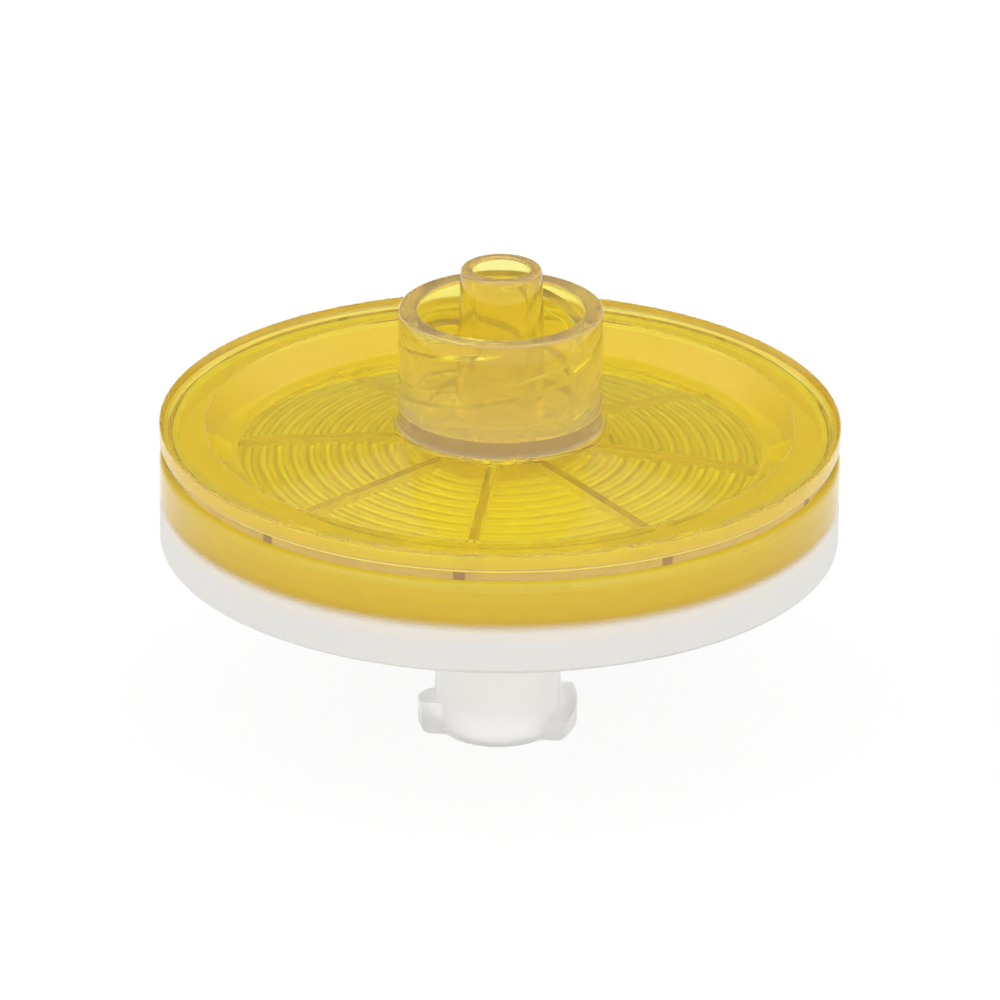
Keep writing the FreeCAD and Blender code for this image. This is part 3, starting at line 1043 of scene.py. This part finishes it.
class SYRINGE_FILTER_OT_membrane(Operator):
    """Build the membrane disc under the ribs"""

    bl_idname = "syringe_filter.membrane"
    bl_label = "Membrane"

    def execute(self, context):
        settings = context.scene.filter_membrane
        top = RIB_FACE - settings.gap / MM
        base = top - settings.thickness / MM
        # A flat disc: out from the axis on top, down its edge and back below.
        profile = subdivided(
            rounded([
                (AXIS_R, top, 0),
                (MEMBRANE_R, top, MEMBRANE_ROUND),
                (MEMBRANE_R, base, MEMBRANE_ROUND),
                (AXIS_R, base, 0),
            ]),
            MEMBRANE_ROW,
        )
        angle = np.linspace(0, 2 * math.pi, MEMBRANE_COLUMNS, endpoint=False)
        piece = new_piece(
            "membrane_disc",
            turned_points(profile[:, :1], profile[:, 1:], angle),
            grid_faces(len(profile), len(angle)),
            np.zeros(len(profile) * len(angle)),
            [membrane_film()],
            merge=2 * AXIS_R,
        )
        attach(piece, "root")
        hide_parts("membrane")
        return {"FINISHED"}


# ---------------------------------------------------------------- inlet shell

# The bore that the plug is pressed into, and how near it a face's middle lies.
BORE_WALL_R = 15.65
BORE_REACH = 0.02


class SYRINGE_FILTER_OT_inlet_shell(Operator):
    """Give the inlet half its milky plastic"""

    bl_idname = "syringe_filter.inlet_shell"
    bl_label = "Inlet shell"

    def execute(self, context):
        settings = context.scene.filter_inlet
        material = milky_plastic(
            settings.tint, settings.milky_below, settings.clear_above
        )
        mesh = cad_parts["inlet_shell"].data
        mesh.materials.clear()
        mesh.materials.append(material)
        mesh.materials.append(amber_weld())
        # The weld's material goes on the bore that the plug is pressed into.
        centre = np.empty(len(mesh.polygons) * 3)
        mesh.polygons.foreach_get("center", centre)
        centre = centre.reshape(-1, 3) / MM
        bore = np.hypot(centre[:, 0], centre[:, 1])
        near_bore = np.abs(bore - BORE_WALL_R) < BORE_REACH
        bonded = near_bore & (centre[:, 2] > MEMBRANE_LOW[2])
        mesh.polygons.foreach_set("material_index", bonded.astype(np.int32))
        mesh.update()
        return {"FINISHED"}


# ---------------------------------------------------------------------- stage

# The view counts as VIEW_WIDTH parts wide. A millimetre at the middle of the
# flange spans VIEW_SCALE of them, and that point lies FLANGE_IN_VIEW of them
# right of and above the middle of the view.
VIEW_WIDTH = 1000
VIEW_SCALE = 20.65
FLANGE_IN_VIEW = (-0.6, 77.4)
SENSOR_MM = 36.0

# Half the floor's side, in metres, and how much of it is the backdrop's white.
FLOOR_HALF_M = 3
BACKDROP_SHARE = 0.85
# Half the angle of the tent's dim opening: where it ends, and where it is dimmest.
OPENING_SPREAD = (math.radians(55), math.radians(25))
# How many faces a ray of light may meet, clear or glossy, and matt.
CLEAR_BOUNCES = 24
MATT_BOUNCES = 10


def aim_camera(settings, flange):
    """Sets the camera on the ray of its azimuth and elevation through the
    middle of the flange, whose top is at height flange, and turns it so that
    this point lies at its place in the view."""
    middle = Vector((0, 0, flange * MM))
    turn, rise = settings.azimuth, settings.elevation
    away = Vector(
        (math.sin(turn) * math.cos(rise), -math.cos(turn) * math.cos(rise), math.sin(rise))
    )
    right = Vector((math.cos(turn), math.sin(turn), 0))
    up = away.cross(right)
    focal = VIEW_SCALE * settings.distance / MM
    aim = -away * focal - right * FLANGE_IN_VIEW[0] - up * FLANGE_IN_VIEW[1]
    facing = -aim.normalized()
    side = Vector((0, 0, 1)).cross(facing).normalized()
    axes = Matrix((side, facing.cross(side), facing)).transposed()
    axes = axes @ Matrix.Rotation(settings.roll, 3, "Z")

    lens = bpy.data.cameras.new("camera")
    lens.sensor_width = SENSOR_MM
    lens.lens = focal * SENSOR_MM / VIEW_WIDTH
    camera = bpy.data.objects.new("camera", lens)
    bpy.context.scene.collection.objects.link(camera)
    place = middle + away * settings.distance
    camera.matrix_world = Matrix.Translation(place) @ axes.to_4x4()
    bpy.context.scene.camera = camera
    return away


def white_floor():
    """A matt white floor. Seen straight on, or in gloss or through clear
    plastic, it is the white of the backdrop; a part of it takes the shadow."""
    material, tree = new_material("studio_floor_white")
    rays = add_node(tree, "ShaderNodeLightPath").outputs
    indirect = maths(tree, "MAXIMUM", rays["Is Glossy Ray"], rays["Is Transmission Ray"])
    seen = maths(tree, "MAXIMUM", rays["Is Camera Ray"], indirect)
    share = both(tree, seen, BACKDROP_SHARE)
    paint = add_node(tree, "ShaderNodeBsdfDiffuse", {"Color": (0.92, 0.92, 0.92, 1)})
    glow = add_node(tree, "ShaderNodeEmission", {"Strength": 1.02})
    mixed = add_node(
        tree, "ShaderNodeMixShader",
        {0: share, 1: paint.outputs[0], 2: glow.outputs[0]},
    )
    add_node(tree, "ShaderNodeOutputMaterial", {"Surface": mixed.outputs[0]})
    return material


def light_tent(away, settings):
    """A white tent all round, with a dim opening behind the filter, opposite
    the camera's rise, where level faces would otherwise mirror it."""
    world = bpy.data.worlds.new("light_tent")
    world.use_nodes = True
    tree = world.node_tree
    tree.nodes.clear()
    ray = add_node(tree, "ShaderNodeTexCoord").outputs["Generated"]
    opening = Vector((-away.x, -away.y, away.z))
    nearness = add_node(
        tree, "ShaderNodeVectorMath", {0: ray, 1: opening}, operation="DOT_PRODUCT"
    )
    level = add_node(
        tree, "ShaderNodeMapRange",
        {
            "Value": nearness.outputs["Value"],
            "From Min": math.cos(OPENING_SPREAD[0]),
            "From Max": math.cos(OPENING_SPREAD[1]),
            "To Min": settings.sky_level,
            "To Max": settings.opening_level,
        },
        interpolation_type="SMOOTHSTEP",
    )
    tent = add_node(
        tree, "ShaderNodeBackground",
        {"Color": (1, 1, 1, 1), "Strength": level.outputs["Result"]},
    )
    add_node(tree, "ShaderNodeOutputWorld", {"Surface": tent.outputs["Background"]})
    bpy.context.scene.world = world


class SYRINGE_FILTER_OT_stage(Operator):
    """Set the floor, tent, lamps and camera"""

    bl_idname = "syringe_filter.stage"
    bl_label = "Studio"

    def execute(self, context):
        scene = context.scene
        settings = scene.filter_studio
        away = aim_camera(settings, flange_top(scene.filter_outlet))
        light_tent(away, settings)

        corners = np.array([(-1, -1, 0), (1, -1, 0), (1, 1, 0), (-1, 1, 0)], float)
        floor = new_piece(
            "studio_floor", corners * FLOOR_HALF_M, np.array([[0, 1, 2, 3]]), np.zeros(1),
            [white_floor()],
        )

        names = ("key_lamp", "fill_lamp", "back_lamp")
        places = ((-0.35, -0.35, 0.55), (0.45, -0.3, 0.4), (0.0, 0.5, 0.5))
        widths = ((0.4, 0.4), (0.35, 0.35), (0.6, 0.3))
        target = Vector((0, 0, WALL_TOP * MM))
        for name, place, width, power in zip(names, places, widths, settings.lamp_power):
            lamp = bpy.data.lights.new(name, "AREA")
            lamp.shape = "RECTANGLE"
            lamp.size, lamp.size_y = width
            lamp.energy = power
            holder = bpy.data.objects.new(name, lamp)
            scene.collection.objects.link(holder)
            facing = (target - Vector(place)).to_track_quat("-Z", "Y")
            holder.matrix_world = Matrix.Translation(place) @ facing.to_matrix().to_4x4()

        scene.view_settings.view_transform = "Standard"
        # Light crosses many faces inside the clear plastic before it leaves.
        scene.cycles.max_bounces = CLEAR_BOUNCES
        scene.cycles.glossy_bounces = CLEAR_BOUNCES
        scene.cycles.transmission_bounces = CLEAR_BOUNCES
        scene.cycles.diffuse_bounces = MATT_BOUNCES
        # Without this, light that has met a matt face loses its way through gloss.
        scene.cycles.blur_glossy = 0.0
        return {"FINISHED"}


# --------------------------------------------------------------------- add-on


class SYRINGE_FILTER_PT_panel(Panel):
    """Sidebar panel with one button for each piece and for the studio"""

    bl_idname = "SYRINGE_FILTER_PT_panel"
    bl_label = "Syringe Filter"
    bl_space_type = "VIEW_3D"
    bl_region_type = "UI"
    bl_category = "Syringe Filter"

    def draw(self, context):
        for operator in OPERATORS:
            self.layout.operator(operator.bl_idname)


GROUPS = {
    "filter_outlet": OutletSettings,
    "filter_inlet": InletSettings,
    "filter_membrane": MembraneSettings,
    "filter_flash": FlashSettings,
    "filter_studio": StudioSettings,
}
OPERATORS = (
    SYRINGE_FILTER_OT_outlet_shell,
    SYRINGE_FILTER_OT_weld_flash,
    SYRINGE_FILTER_OT_membrane,
    SYRINGE_FILTER_OT_inlet_shell,
    SYRINGE_FILTER_OT_stage,
)


def register():
    for group in GROUPS.values():
        bpy.utils.register_class(group)
    for operator in OPERATORS:
        bpy.utils.register_class(operator)
    bpy.utils.register_class(SYRINGE_FILTER_PT_panel)
    for name, group in GROUPS.items():
        setattr(bpy.types.Scene, name, PointerProperty(type=group))


def unregister():
    for name in GROUPS:
        delattr(bpy.types.Scene, name)
    bpy.utils.unregister_class(SYRINGE_FILTER_PT_panel)
    for operator in reversed(OPERATORS):
        bpy.utils.unregister_class(operator)
    for group in reversed(GROUPS.values()):
        bpy.utils.unregister_class(group)


def main():
    """Builds every piece in order."""
    register()
    bpy.ops.syringe_filter.outlet_shell()
    bpy.ops.syringe_filter.weld_flash()
    bpy.ops.syringe_filter.membrane()
    bpy.ops.syringe_filter.inlet_shell()
    bpy.ops.syringe_filter.stage()


if __name__ == "__main__":
    main()
